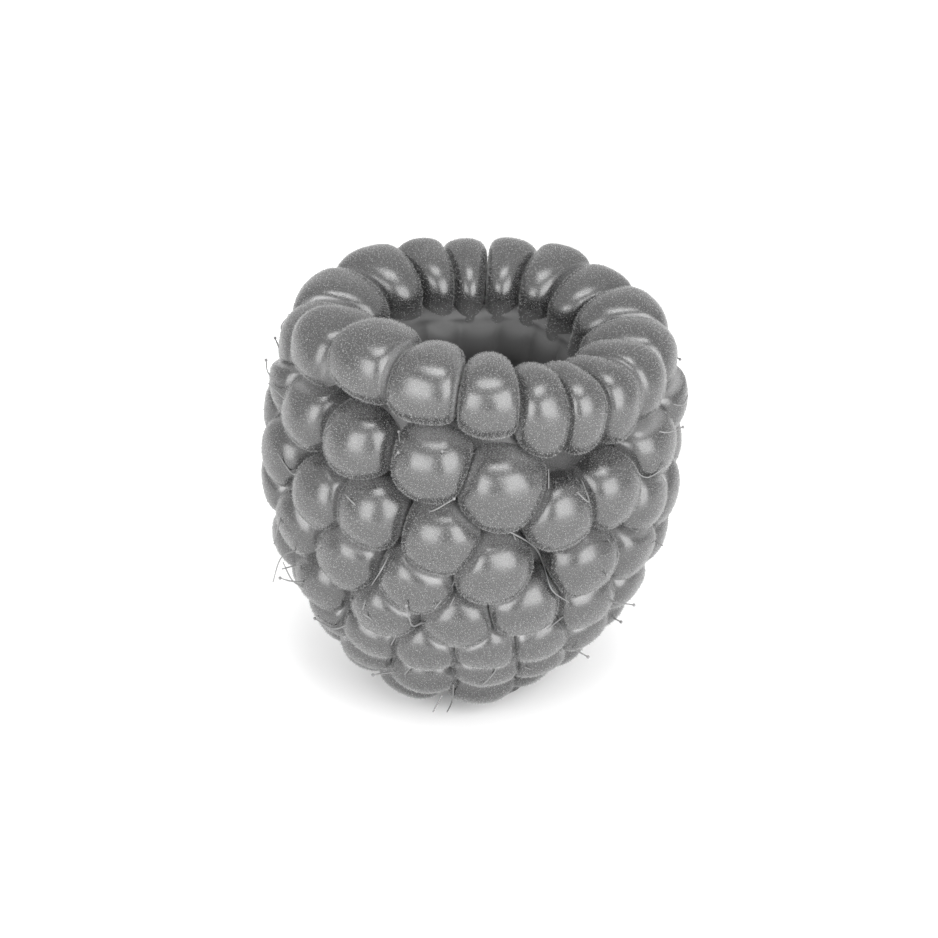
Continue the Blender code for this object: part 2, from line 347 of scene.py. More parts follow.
@dataclass
class RimDrupelet(Drupelet):
    """A lobe of the rim, which arches from the skin over into the cavity.

    It is a wedge, `half` radians to each side and `thick` up, down and out. Its inner end
    reaches `inward`, and further by `flare` and down by `drop` the lower it lies.
    """

    azimuth: float = 0.0
    middle: float = 0.0
    ring: float = 7.85
    thick: float = 2.0
    inward: float = 2.8
    extra: float = 0.0
    drop: float = 4.5
    flare: float = 2.2
    curl: float = 1.5
    half: float = 0.2
    limits: Pair = (0.8, 0.8)
    bearing_slope: float = 2.0
    passes: int = 12
    thinnest: float = 0.5

    def reach(self, local: np.ndarray) -> np.ndarray:
        """How far out of the unpressed wedge each point (across, away, up) lies."""
        return (np.abs(local) ** self.fullness).sum(axis=1) ** (1.0 / self.fullness)

    def world(self, local: np.ndarray) -> np.ndarray:
        """Wedge points bent round the fruit's axis, their inner ends down the cavity.

        Args:
            local: Points as across, away and up in the wedge's own measures.

        Returns:
            The points on the fruit.
        """
        across, away, up = local.T
        angle = self.azimuth + across * self.half
        low = np.maximum(0.0, -up) ** self.curl
        inner, outer = np.maximum(0.0, -away), np.maximum(0.0, away)
        far = self.ring + outer * self.thick - inner * (self.inward + self.flare * low)
        rise = up * self.thick - low * (self.drop * inner + self.extra * outer)
        return np.array((np.sin(angle) * far, -np.cos(angle) * far, self.middle + rise)).T

    def local(self, points: np.ndarray) -> np.ndarray:
        """Points in the wedge's own measures, found in a few passes.

        Args:
            points: Points of the fruit.

        Returns:
            The points as across, away and up, true near the wedge's surface.
        """
        x, y, z = points.T
        angle = (np.arctan2(x, -y) - self.azimuth + math.pi) % math.tau - math.pi
        beyond = np.hypot(x, y) - self.ring
        outer = np.maximum(0.0, beyond) / self.thick
        depth = np.maximum(0.0, self.middle - z)
        under = depth / self.thick
        inner = np.zeros(len(points))
        for _ in range(self.passes):
            inner = np.maximum(0.0, -beyond) / (self.inward + self.flare * under**self.curl)
            longer = (self.drop * inner + self.extra * outer) * under ** (self.curl - 1.0)
            under = 0.5 * under + 0.5 * depth / np.maximum(self.thick + longer, self.thinnest)
        up = np.maximum(0.0, z - self.middle) / self.thick - under
        return np.array((angle / self.half, outer - inner, up)).T

    def bearing(self, local: np.ndarray) -> np.ndarray:
        """Lobes of the skin press on the outer end alone, so the inner one runs on down."""
        return np.clip(0.5 + self.bearing_slope * local[:, 1], 0.0, 1.0)

    def squeeze(self, local: np.ndarray) -> np.ndarray:
        """How hard the wedge's two sides press on the next wedges."""
        low, high = self.limits
        return np.maximum(local[:, 0] / high, -local[:, 0] / low)


@dataclass
class Fruit:
    """The aggregate fruit: where each drupelet grows and how it is pressed."""

    depth: Pair = (2.2, 2.2)
    half_width: float = 2.25
    half_height: Pair = (2.3, 2.2)
    squat: tuple[Pair, Pair] = ((3.0, 11.0), (0.78, 1.0))
    slope_reach: float = 0.7
    far_swing: float = 2.0
    far_rise: float = 0.3
    rim_ring: float = 7.85
    rim_swing: float = 0.15
    rim_overlap: float = 1.5
    tip_count: int = 3
    tip_ring: float = 1.9
    tip_height: float = -0.45
    tip_radius: float = 2.4
    tilt: float = math.radians(16.0)
    pivot: float = 1.3
    near: float = 6.5
    overlap: float = 0.04
    least: float = 0.45

    def skin_drupelet(self, azimuth: float, height: float, size: float) -> Drupelet:
        """A drupelet of the skin.

        Args:
            azimuth: Azimuth of its crown in radians.
            height: Height of its crown.
            size: Its size beside the usual one.

        Returns:
            The drupelet, not pressed yet.
        """
        wider = radius_at(SKIN_OUTLINE, height + self.slope_reach)
        wider -= radius_at(SKIN_OUTLINE, height - self.slope_reach)
        outward = unit(radial(azimuth) * 2 * self.slope_reach - np.array((0.0, 0.0, wider)))
        across = sideways(azimuth)
        along = np.cross(outward, across)
        along *= math.copysign(1.0, along[2])
        crown = radial(azimuth) * skin_radius(azimuth, height) + np.array((0, 0, height))
        deep = (self.depth[0] * size, self.depth[1])
        squat = size * float(np.interp(height, *self.squat))
        tall = (self.half_height[0] * squat, self.half_height[1] * squat)
        return Drupelet(
            Lobe.SKIN, crown, crown - outward * deep[0], outward, across, along,
            deep, self.half_width * size, tall, weight=size,
        )

    def tip_drupelet(self, index: int) -> Drupelet:
        """One of the few drupelets that the fruit stands on.

        Args:
            index: Which one, from 0.

        Returns:
            The drupelet, not pressed yet.
        """
        azimuth = math.tau * (index + 0.5) / self.tip_count
        crown = radial(azimuth) * self.tip_ring + np.array((0.0, 0.0, self.tip_height))
        down = np.array((0.0, 0.0, -1.0))
        size = (self.tip_radius, self.tip_radius)
        return Drupelet(
            Lobe.TIP, crown, crown - down * self.tip_radius, down, sideways(azimuth),
            radial(azimuth), size, self.tip_radius, size,
        )

    def rim(self) -> list[RimDrupelet]:
        """The ring of rim drupelets, each limited half way to the next.

        Returns:
            The drupelets by azimuth.
        """
        made = []
        azimuths = [place[0] for place in RIM_PLACES]
        before = [azimuths[-1] - 360] + azimuths[:-1]
        after = azimuths[1:] + [azimuths[0] + 360]
        for (azimuth, crest, extra), low, high in zip(RIM_PLACES, before, after):
            half = math.radians((high - low) / 4.0) * self.rim_overlap
            turn = math.radians(azimuth)
            lobe = RimDrupelet(
                Lobe.RIM, np.zeros(3), np.zeros(3), np.zeros(3), sideways(turn),
                np.array((0.0, 0.0, 1.0)), (1.0, 1.0), 1.0, (1.0, 1.0), azimuth=turn,
            )
            lobe.middle = crest - lobe.thick
            lobe.ring = self.rim_ring - self.rim_swing * math.sin(turn)
            lobe.extra, lobe.half = extra, half
            lobe.limits = (
                math.radians(azimuth - low) / 2.0 / half,
                math.radians(high - azimuth) / 2.0 / half,
            )
            lobe.outward = radial(turn)
            lobe.centre = lobe.world(np.zeros((1, 3)))[0]
            lobe.crown = lobe.centre + lobe.outward * lobe.thick
            made.append(lobe)
        return made

    def rows(self) -> list[list[Drupelet]]:
        """The rows below the rim, by the same rule and draws as the solid's.

        Returns:
            The drupelets of each row, top to bottom.
        """
        draw = random.Random(SEED)
        made = []
        for seen, far_count, far_height in ROW_PLACES:
            places = list(seen)
            step = (seen[0][0] + 360.0 - seen[-1][0]) / (far_count + 1)
            for index in range(far_count):
                azimuth = seen[-1][0] + step * (index + 1)
                azimuth += draw.uniform(-self.far_swing, self.far_swing)
                height = far_height + draw.uniform(-self.far_rise, self.far_rise)
                places.append((azimuth, height, 1.0))
            # The solid also draws a turn for each drupelet, so the draws keep its order
            for _ in places:
                draw.uniform(0.0, math.tau)
            made.append([self.skin_drupelet(math.radians(a), h, size) for a, h, size in places])
        return made

    def press(self, lobes: Sequence[Drupelet]) -> None:
        """Sets the planes in which neighbouring drupelets press on each other.

        A plane between an upper and a lower drupelet leans, so that the upper one lies over
        the lower one as a scale does.

        Args:
            lobes: Every drupelet of the fruit.
        """
        for one in lobes:
            for other in lobes:
                gap = other.centre - one.centre
                both_rim = one.lobe is Lobe.RIM and other.lobe is Lobe.RIM
                if one is other or both_rim or np.linalg.norm(gap) > self.near:
                    continue
                out = unit(one.outward + other.outward)
                flat = unit(gap)
                share = one.weight / (one.weight + other.weight)
                middle = one.centre + gap * share + out * self.pivot
                tilt = -flat[2] * self.tilt
                normal = flat * math.cos(tilt) - out * math.sin(tilt)
                distance = (middle - one.centre) @ normal + self.overlap
                one.planes.append((normal, max(distance, self.least)))


def noisy(points: np.ndarray, size: float) -> np.ndarray:
    """Smooth noise from -1 to 1 at points in millimetres, with waves of a size."""
    return np.array([noise.noise(Vector(point / size)) for point in points])


@dataclass
class DrupeletMesher:
    """Makes one mesh from several drupelets."""

    side: int = 16
    sharp: float = 9.0
    unevenness: float = 0.08
    wave: float = 1.7
    near: float = 9.0
    buried_depth: float = 1.5
    buried_below: float = 16.5
    cave_edge: float = 6.9
    cave_fade: float = 1.6
    cave_floor: float = 8.0
    cave_top: float = 19.0
    cave_top_fade: float = 2.0

    def covered(
        self, place: np.ndarray, lobe: Drupelet, others: Sequence[Drupelet]
    ) -> np.ndarray:
        """Which points of a lobe lie in another one or deep in the fruit.

        Args:
            place: The lobe's points.
            lobe: The lobe.
            others: Every drupelet of the fruit.

        Returns:
            True for each point that can't be seen.
        """
        covered = np.zeros(len(place), bool)
        for other in others:
            if other is not lobe and np.linalg.norm(other.crown - lobe.crown) < self.near:
                covered |= other.holds(place)
        far = np.hypot(place[:, 0], place[:, 1])
        skin = np.array([radius_at(SKIN_OUTLINE, z) for z in place[:, 2]])
        return covered | (far < skin - self.buried_depth) & (place[:, 2] < self.buried_below)

    def cave_share(self, place: np.ndarray) -> np.ndarray:
        """How much of the cavity's smooth finish, with its painted light and shade, points have.

        Args:
            place: Points of the fruit.

        Returns:
            A number for each point, from 0 on the skin to 1 in the cavity.
        """
        far, height = np.hypot(place[:, 0], place[:, 1]), place[:, 2]
        cave = np.clip((self.cave_edge - far) / self.cave_fade, 0.0, 1.0)
        cave *= height > self.cave_floor
        return cave * np.clip((self.cave_top - height) / self.cave_top_fade, 0.0, 1.0)

    def make(
        self, name: str, lobes: Sequence[Drupelet], others: Sequence[Drupelet]
    ) -> bpy.types.Object:
        """Object of closed lobes, with what the finishes read stored on its points.

        Args:
            name: Name of the piece.
            lobes: The drupelets that it holds.
            others: Every drupelet of the fruit, to tell which points are hidden.

        Returns:
            The object, linked to the scene.
        """
        directions, quads = ball(self.side)
        points, faces, creases, downs, caves = [], [], [], [], []
        for index, lobe in enumerate(lobes):
            place, pressed = lobe.surface(directions, self.sharp)
            bulge = noisy(place + lobe.crown, self.wave) * self.unevenness * (1.0 - pressed)
            place = place + directions_out(place, lobe.centre) * bulge[:, None]
            covered, cave = self.covered(place, lobe, others), self.cave_share(place)
            points.append(place)
            faces.append(quads + index * len(directions))
            creases.append(pressed)
            downs.append((1.0 - covered) * (1.0 - cave) * (1.0 - pressed) ** 0.5)
            caves.append(cave)
        mesh = mesh_from(name, set_down(np.concatenate(points)), np.concatenate(faces))
        # crease and cave also steer the skin's painted light in the creases and painted light and
        # shade in the cavity
        for label, values in (("crease", creases), ("downy", downs), ("cave", caves)):
            store(mesh, label, np.concatenate(values))
        return linked(name, mesh)


def directions_out(points: np.ndarray, centre: np.ndarray) -> np.ndarray:
    """Unit vectors from a centre to each point."""
    away = points - centre
    return away / np.maximum(np.linalg.norm(away, axis=1), 1e-9)[:, None]


def mesh_from(name: str, points: np.ndarray, faces: Iterable[Sequence[int]]) -> bpy.types.Mesh:
    """Smooth mesh with its faces turned outward.

    Args:
        name: Name of the mesh.
        points: Corners in metres.
        faces: Corner indices of each face.

    Returns:
        The mesh.
    """
    mesh = bpy.data.meshes.new(name)
    mesh.from_pydata(points.tolist(), [], [list(map(int, face)) for face in faces])
    bm = bmesh.new()
    bm.from_mesh(mesh)
    bmesh.ops.recalc_face_normals(bm, faces=bm.faces)
    bm.to_mesh(mesh)
    bm.free()
    mesh.shade_smooth()
    return mesh


def store(mesh: bpy.types.Mesh, label: str, values: Sequence[float]) -> None:
    """Stores a number on each of a mesh's points, for the finishes and the growth to read."""
    layer = mesh.attributes.new(label, "FLOAT", "POINT")
    layer.data.foreach_set("value", np.asarray(values, np.float32))


def linked(name: str, mesh: bpy.types.Mesh) -> bpy.types.Object:
    """Object of a mesh, linked to the scene.

    Args:
        name: Name of the object.
        mesh: Its mesh.

    Returns:
        The object.
    """
    obj = bpy.data.objects.new(name, mesh)
    bpy.context.scene.collection.objects.link(obj)
    return obj


def claim(obj: bpy.types.Object) -> None:
    """Attaches a finished piece of the fruit to its body and hides the fruit's solid.

    Args:
        obj: The finished piece.
    """
    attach(obj, BODY)
    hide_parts(NODE)


@dataclass
class CavityWall:
    """The cup under the drupelets, whose inside shows the drupelets' inner ends."""

    sink: float = 2.1
    sides: int = 180
    lumps: int = 16
    lump_power: float = 0.7
    relief: float = 0.3
    row_height: float = 2.2
    level_below: float = 13.0
    rises_over: float = 4.0
    under_crest: float = 2.4
    rim_outer: float = 8.1
    rim_inner: float = 5.9
    outer_heights: tuple[float, ...] = (1.0, 2.5, 4.5, 7.0, 10.0, 13.0, 15.5, 17.3)
    outer_crease: float = 0.1
    cavity_rings: int = 50
    foot: float = 0.8

    def make(self, name: str) -> bpy.types.Object:
        """The closed cup, whose skin's side and cavity's side have their own finishes.

        Args:
            name: Name of the piece.

        Returns:
            The object, linked to the scene.
        """
        rings = [self.outer_ring(height) for height in self.outer_heights]
        rings += [self.top_ring(self.rim_outer), self.top_ring(self.rim_inner)]
        low, high = CAVITY_OUTLINE[1][0], CAVITY_OUTLINE[-1][0]
        rings += [self.bumpy_ring(height) for height in np.linspace(high, low, self.cavity_rings)]
        poles = ((0.0, 0.0, self.foot), (0.0, 0.0, CAVITY_OUTLINE[0][0]))
        points = np.concatenate([*rings, poles])
        faces: list[Sequence[int]] = []
        for level in range(len(rings) - 1):
            base = level * self.sides
            for side in range(self.sides):
                after = (side + 1) % self.sides
                upper = base + self.sides
                faces.append((base + side, base + after, upper + after, upper + side))
        last = (len(rings) - 1) * self.sides
        for side in range(self.sides):
            after = (side + 1) % self.sides
            faces.append((side, after, len(points) - 2))
            faces.append((last + side, last + after, len(points) - 1))
        mesh = mesh_from(name, set_down(points), faces)
        inside = np.zeros(len(points), np.float32)
        inside[(len(self.outer_heights) + 1) * self.sides:] = 1.0
        store(mesh, "crease", self.outer_crease * (1.0 - inside))
        # cave marks the cavity side, which gets the finish's painted cavity grey
        store(mesh, "cave", inside)
        return linked(name, mesh)

    def angles(self) -> np.ndarray:
        """The azimuth of each side."""
        return np.arange(self.sides) * math.tau / self.sides

    def ring(self, radii: np.ndarray, heights: np.ndarray | float) -> np.ndarray:
        """Ring of points round the axis.

        Args:
            radii: Radius of each side.
            heights: Height of each side, or of them all.

        Returns:
            The ring's points.
        """
        angles = self.angles()
        level = np.zeros(self.sides) + heights
        return np.array((np.sin(angles) * radii, -np.cos(angles) * radii, level)).T

    def outer_ring(self, height: float) -> np.ndarray:
        """Ring under the skin's drupelets."""
        radii = [skin_radius(angle, height) - self.sink for angle in self.angles()]
        return self.ring(np.array(radii), height)

    def crests(self) -> np.ndarray:
        """Height of the rim's crest over each side."""
        azimuths, crests, _ = zip(*RIM_PLACES)
        return np.interp(np.degrees(self.angles()), azimuths, crests, period=360.0)

    def top_ring(self, radius: float) -> np.ndarray:
        """Ring inside the rim's drupelets, which rises and falls with their crests."""
        return self.ring(np.full(self.sides, radius), self.crests() - self.under_crest)

    def bumpy_ring(self, height: float) -> np.ndarray:
        """Ring of the cavity's wall, on which the inner ends stand out in staggered rows.

        Args:
            height: Height under the lowest crest. The upper rings rise with the crests.

        Returns:
            The ring's points.
        """
        row = math.floor(height / self.row_height)
        share = height / self.row_height - row
        swing = 0.5 * (row % 2)
        across = np.abs(np.sin((self.angles() * self.lumps / math.tau + swing) * math.pi))
        lump = (across * math.sin(share * math.pi)) ** self.lump_power
        crests = self.crests()
        risen = np.clip((height - self.level_below) / self.rises_over, 0.0, 1.0)
        rise = (crests - crests.min()) * risen
        radii = radius_at(CAVITY_OUTLINE, height) + self.relief * (0.5 - lump)
        return self.ring(radii, height + rise)


class Socket:
    """An output of a node, with sums and products that add Math nodes."""

    def __init__(self, graph: Graph, link: bpy.types.NodeSocket) -> None:
        """Wraps one output of a graph's node."""
        self.graph = graph
        self.link = link

    def _maths(self, operation: str, *values: Socket | float) -> Socket:
        """A Math node on this graph."""
        inputs = dict(enumerate(values))
        return self.graph.add("ShaderNodeMath", {"operation": operation}, inputs)

    def __add__(self, other: Socket | float) -> Socket:
        """Sum."""
        return self._maths("ADD", self, other)

    def __radd__(self, other: float) -> Socket:
        """Sum with a number on the left."""
        return self._maths("ADD", other, self)

    def __sub__(self, other: Socket | float) -> Socket:
        """Difference."""
        return self._maths("SUBTRACT", self, other)

    def __rsub__(self, other: float) -> Socket:
        """Difference from a number."""
        return self._maths("SUBTRACT", other, self)

    def __mul__(self, other: Socket | float) -> Socket:
        """Product."""
        return self._maths("MULTIPLY", self, other)

    def __rmul__(self, other: float) -> Socket:
        """Product with a number on the left."""
        return self._maths("MULTIPLY", other, self)

    def clamped(self) -> Socket:
        """The value held between 0 and 1."""
        return self.graph.add("ShaderNodeClamp", {}, {"Value": self})


class Graph:
    """The node tree of one material."""

    def __init__(self, name: str) -> None:
        """Makes an empty material."""
        self.material = bpy.data.materials.new(name)
        self.material.use_nodes = True
        self.tree = self.material.node_tree
        self.tree.nodes.clear()

    def add(
        self, kind: str, settings: dict[str, object], inputs: dict[str | int, object],
        output: str | int = 0,
    ) -> Socket:
        """Adds one node.

        Args:
            kind: The node's type.
            settings: Its own settings, set first.
            inputs: Values or links of its sockets, by name or number.
            output: Which output is handed back.

        Returns:
            The wrapped output.
        """
        node = self.tree.nodes.new(kind)
        for key, value in settings.items():
            setattr(node, key, value)
        for key, value in inputs.items():
            if isinstance(value, Socket):
                self.tree.links.new(value.link, node.inputs[key])
            else:
                node.inputs[key].default_value = value
        return Socket(self, node.outputs[output])

    def place(self) -> Socket:
        """Place on the object in millimetres."""
        metres = self.add("ShaderNodeTexCoord", {}, {}, "Object")
        scale = {"operation": "SCALE"}
        return self.add("ShaderNodeVectorMath", scale, {0: metres, "Scale": 1.0 / MM})

    def noise(self, place: Socket, scale: float, detail: float = 2.0) -> Socket:
        """Noise with a number of waves per millimetre."""
        inputs = {"Vector": place, "Scale": scale, "Detail": detail, "Roughness": 0.5}
        return self.add("ShaderNodeTexNoise", {}, inputs)

    def attribute(self, name: str) -> Socket:
        """A number stored on the mesh's points."""
        return self.add("ShaderNodeAttribute", {"attribute_name": name}, {}, "Fac")

    def grey(self, value: Socket) -> Socket:
        """A number as a grey colour."""
        return self.add("ShaderNodeCombineColor", {}, {0: value, 1: value, 2: value})

    def blend(self, share: Socket, low: Socket | float, high: Socket | float) -> Socket:
        """A number between two others."""
        return self.add("ShaderNodeMix", {"data_type": "FLOAT"}, {0: share, 2: low, 3: high})

    def finish(self, shader: Socket) -> bpy.types.Material:
        """Sets the material's surface and hands the material back."""
        end = self.tree.nodes.new("ShaderNodeOutputMaterial")
        self.tree.links.new(shader.link, end.inputs["Surface"])
        return self.material


@dataclass(frozen=True)
class SkinFinish:
    """The drupelets' skin: mid grey, finely stippled and velvety, smooth in the cavity, with
    painted light that makes the creases paler and painted light and shade in the cavity.

    Stipple, cells and patches are in waves per millimetre, and depths in millimetres.
    """

    name: str = "raspberry_skin"
    grey: float = 0.023
    speck: float = 0.02
    speck_from: float = 0.54
    speck_slope: float = 7.0
    # Painted light: creases between drupelets get this paler grey, which lights them where little
    # light reaches
    crease_painted_light_grey: float = 0.2
    crease_from: float = 0.25
    crease_slope: float = 2.0
    crease_smoothness: float = 0.7
    # Painted light and shade: the cavity's grey, paler than the skin to light the drupelets'
    # undercut inner ends, and set lower on the cavity wall to shade the hollow
    cave_painted_shading_grey: float = 0.1
    stipple: float = 17.0
    cells: float = 2.4
    patches: float = 0.5
    patch_contrast: float = 0.25
    cave_contrast: float = 0.2
    gloss: float = 1.8
    roughness: float = 0.27
    stipple_roughness: float = 0.4
    cell_roughness: float = 0.1
    cave_roughness: float = 0.5
    sheen: float = 0.1
    sheen_roughness: float = 0.3
    under_skin: float = 0.1
    under_depth: float = 1.2
    bump: float = 0.3
    bump_depth: float = 0.02
    cell_height: float = 0.6

    def make(self) -> bpy.types.Material:
        """Builds the material.

        Returns:
            The material.
        """
        graph = Graph(self.name)
        place = graph.place()
        crease, cave = graph.attribute("crease"), graph.attribute("cave")
        fine = graph.noise(place, self.stipple, 1.0)
        patch, cell = graph.noise(place, self.patches), graph.noise(place, self.cells)
        # Painted light: pressed creases are made paler, and also smoother and less stippled
        crease_painted_light_and_bare = ((crease - self.crease_from) * self.crease_slope).clamped()
        dusty = (1.0 - cave) * (1.0 - crease_painted_light_and_bare * self.crease_smoothness)
        speck = ((fine - self.speck_from) * self.speck_slope).clamped() * dusty
        tone = self.grey * (1.0 + (patch - 0.5) * self.patch_contrast)
        # Painted light: paler tone in the creases
        tone = graph.blend(crease_painted_light_and_bare, tone, tone * (self.crease_painted_light_grey / self.grey))
        # Painted light and shade: the cavity's grey stands in for how light reaches the hollow
        deep = self.cave_painted_shading_grey * (1.0 + (patch - 0.5) * self.cave_contrast)
        tone = graph.blend(cave, tone, deep) + speck * self.speck
        rough = self.roughness + (fine - 0.5) * self.stipple_roughness * dusty
        rough = rough + (cell - 0.5) * self.cell_roughness
        rough = graph.blend(cave, rough, self.cave_roughness)
        normal = graph.add(
            "ShaderNodeBump",
            {},
            {
                "Strength": self.bump,
                "Distance": self.bump_depth * MM,
                "Height": fine * dusty + cell * self.cell_height,
            },
        )
        shader = graph.add(
            "ShaderNodeBsdfPrincipled",
            {"subsurface_method": "RANDOM_WALK"},
            {
                "Base Color": graph.grey(tone),
                "Roughness": rough.clamped(),
                "Normal": normal,
                "Sheen Weight": self.sheen,
                "Sheen Roughness": self.sheen_roughness,
                "Subsurface Weight": self.under_skin,
                "Subsurface Scale": self.under_depth * MM,
                "Subsurface Radius": (1.0, 1.0, 1.0),
                "IOR": self.gloss,
            },
        )
        return graph.finish(shader)


@dataclass(frozen=True)
class HairFinish:
    """Dry plant hair, paler in patches and flecks, which are in waves per millimetre."""

    name: str
    grey: float
    patches: float = 1.3
    flecks: float = 6.0
    contrast: float = 0.3
    roughness: float = 0.5
    fleck_roughness: float = 0.2

    def make(self) -> bpy.types.Material:
        """Builds the material.

        Returns:
            The material.
        """
        graph = Graph(self.name)
        place = graph.place()
        patch, fleck = graph.noise(place, self.patches), graph.noise(place, self.flecks)
        tone = self.grey * (1.0 + (patch - 0.5) * self.contrast + (fleck - 0.5) * self.contrast)
        shader = graph.add(
            "ShaderNodeBsdfPrincipled",
            {},
            {
                "Base Color": graph.grey(tone),
                "Roughness": (self.roughness + (fleck - 0.5) * self.fleck_roughness).clamped(),
            },
        )
        return graph.finish(shader)


@dataclass(frozen=True)
class TableFinish:
    """The plain pale table under the fruit."""

    name: str = "pale_table"
    grey: float = 0.9
    roughness: float = 0.9
    patches: float = 0.02
    contrast: float = 0.02

    def make(self) -> bpy.types.Material:
        """Builds the material.

        Returns:
            The material.
        """
        graph = Graph(self.name)
        soft = graph.noise(graph.place(), self.patches)
        tone = graph.grey(self.grey * (1.0 + (soft - 0.5) * self.contrast))
        inputs = {"Base Color": tone, "Roughness": self.roughness}
        return graph.finish(graph.add("ShaderNodeBsdfPrincipled", {}, inputs))


class GrowthTree:
    """A Geometry Nodes tree that grows something on a mesh."""

    def __init__(self, name: str, sizes: dict[str, tuple[str, float]]) -> None:
        """Makes the group with its named inputs.

        Args:
            name: Name of the group.
            sizes: Socket type and value of each input, by name.
        """
        self.tree = bpy.data.node_groups.new(name, "GeometryNodeTree")
        face = self.tree.interface
        face.new_socket("Geometry", in_out="INPUT", socket_type="NodeSocketGeometry")
        face.new_socket("Geometry", in_out="OUTPUT", socket_type="NodeSocketGeometry")
        self.keys: dict[str, str] = {}
        for label, (kind, value) in sizes.items():
            socket = face.new_socket(label, in_out="INPUT", socket_type=kind)
            if value is not None:
                socket.default_value = value
            self.keys[label] = socket.identifier
        self.start = self.tree.nodes.new("NodeGroupInput")

    def add(
        self, kind: str, settings: dict[str, object], inputs: dict[str | int, object]
    ) -> bpy.types.Node:
        """Adds one node.

        Args:
            kind: The node's type.
            settings: Its own settings, set first.
            inputs: Values or links of its sockets, by name or number.

        Returns:
            The node.
        """
        node = self.tree.nodes.new(kind)
        for key, value in settings.items():
            setattr(node, key, value)
        for key, value in inputs.items():
            if isinstance(value, bpy.types.NodeSocket):
                self.tree.links.new(value, node.inputs[key])
            else:
                node.inputs[key].default_value = value
        return node

    def size(self, label: str) -> bpy.types.NodeSocket:
        """The group's input of that name."""
        return self.start.outputs[label]

    def stored(self, name: str) -> bpy.types.NodeSocket:
        """A number stored on the carrier's points."""
        node = self.add("GeometryNodeInputNamedAttribute", {"data_type": "FLOAT"}, {"Name": name})
        return node.outputs["Attribute"]

    def drawn(self, low: float, high: float) -> bpy.types.NodeSocket:
        """A seeded number for each point, between two limits."""
        inputs = {2: low, 3: high, "Seed": self.size("Seed")}
        return self.add("FunctionNodeRandomValue", {"data_type": "FLOAT"}, inputs).outputs[1]

    def product(self, *factors: bpy.types.NodeSocket) -> bpy.types.NodeSocket:
        """Two numbers multiplied."""
        inputs = dict(enumerate(factors))
        return self.add("ShaderNodeMath", {"operation": "MULTIPLY"}, inputs).outputs[0]

    def end(self, geometry: bpy.types.NodeSocket) -> None:
        """Realizes the instances, sets the material and ends the tree.

        Args:
            geometry: What has grown.
        """
        real = self.add("GeometryNodeRealizeInstances", {}, {"Geometry": geometry})
        painted = self.add(
            "GeometryNodeSetMaterial", {},
            {"Geometry": real.outputs[0], "Material": self.size("Finish")},
        )
        smooth = self.add("GeometryNodeSetShadeSmooth", {}, {"Geometry": painted.outputs[0]})
        end = self.tree.nodes.new("NodeGroupOutput")
        self.tree.links.new(smooth.outputs[0], end.inputs[0])

    def grow(
        self, name: str, carrier: bpy.types.Object, values: dict[str, object]
    ) -> bpy.types.Object:
        """Runs the tree on a carrier and keeps the result as a plain mesh.

        Args:
            name: Name of the new piece.
            carrier: Object whose mesh the tree starts from. It stays as it is.
            values: Values of the named inputs.

        Returns:
            The new object.
        """
        holder = linked(name + "_holder", carrier.data.copy())
        modifier = holder.modifiers.new("growth", "NODES")
        modifier.node_group = self.tree
        for label, value in values.items():
            modifier[self.keys[label]] = value
        graph = bpy.context.evaluated_depsgraph_get()
        mesh = bpy.data.meshes.new_from_object(holder.evaluated_get(graph))
        mesh.name = name
        holder.modifiers.clear()
        bpy.data.objects.remove(holder, do_unlink=True)
        return linked(name, mesh)


@dataclass
class Down:
    """The short down that covers every drupelet outside the cavity."""

    per_mm2: float = 80.0
    length: float = 0.09
    lengths: Pair = (0.5, 1.4)
    width: float = 0.01
    spread: float = 0.9

    def tree(self) -> GrowthTree:
        """The tree that grows the down.

        Returns:
            The tree, ready to run on a drupelets' mesh.
        """
        growth = GrowthTree(
            "down_growth",
            {
                "Density": ("NodeSocketFloat", self.per_mm2 / MM**2),
                "Length": ("NodeSocketFloat", self.length * MM),
                "Width": ("NodeSocketFloat", self.width * MM),
                "Spread": ("NodeSocketFloat", self.spread),
                "Seed": ("NodeSocketInt", 1),
                "Finish": ("NodeSocketMaterial", None),
            },
        )
        spots = growth.add(
            "GeometryNodeDistributePointsOnFaces", {},
            {
                "Mesh": growth.size("Geometry"),
                "Density": growth.product(growth.size("Density"), growth.stored("downy")),
                "Seed": growth.size("Seed"),
            },
        )
        lean = growth.add(
            "FunctionNodeRandomValue", {"data_type": "FLOAT_VECTOR"},
            {"Min": (-1.0, -1.0, -1.0), "Max": (1.0, 1.0, 1.0), "Seed": growth.size("Seed")},
        )
        bent = growth.add(
            "ShaderNodeVectorMath", {"operation": "SCALE"},
            {0: lean.outputs["Value"], "Scale": growth.size("Spread")},
        )
        towards = growth.add(
            "ShaderNodeVectorMath", {"operation": "ADD"},
            {0: spots.outputs["Normal"], 1: bent.outputs[0]},
        )
        turn = growth.add(
            "FunctionNodeAlignRotationToVector", {"axis": "Z"}, {"Vector": towards.outputs[0]}
        )
        long = growth.product(growth.size("Length"), growth.drawn(*self.lengths))
        scale = growth.add(
            "ShaderNodeCombineXYZ", {}, {0: growth.size("Width"), 1: growth.size("Width"), 2: long}
        )
        hair = growth.add(
            "GeometryNodeMeshCone", {},
            {"Vertices": 3, "Radius Top": 0.0, "Radius Bottom": 1.0, "Depth": 1.0},
        )
        placed = growth.add(
            "GeometryNodeInstanceOnPoints", {},
            {
                "Points": spots.outputs["Points"],
                "Instance": hair.outputs["Mesh"],
                "Rotation": turn.outputs[0],
                "Scale": scale.outputs[0],
            },
        )
        growth.end(placed.outputs[0])
        return growth

    def make(
        self, carriers: Sequence[bpy.types.Object], finish: bpy.types.Material
    ) -> list[bpy.types.Object]:
        """Grows the down on each carrier as a piece of its own.

        Args:
            carriers: The drupelets' pieces.
            finish: The down's material.

        Returns:
            The new pieces.
        """
        growth = self.tree()
        return [
            growth.grow("down_" + carrier.name, carrier, {"Seed": index + 1, "Finish": finish})
            for index, carrier in enumerate(carriers)
        ]


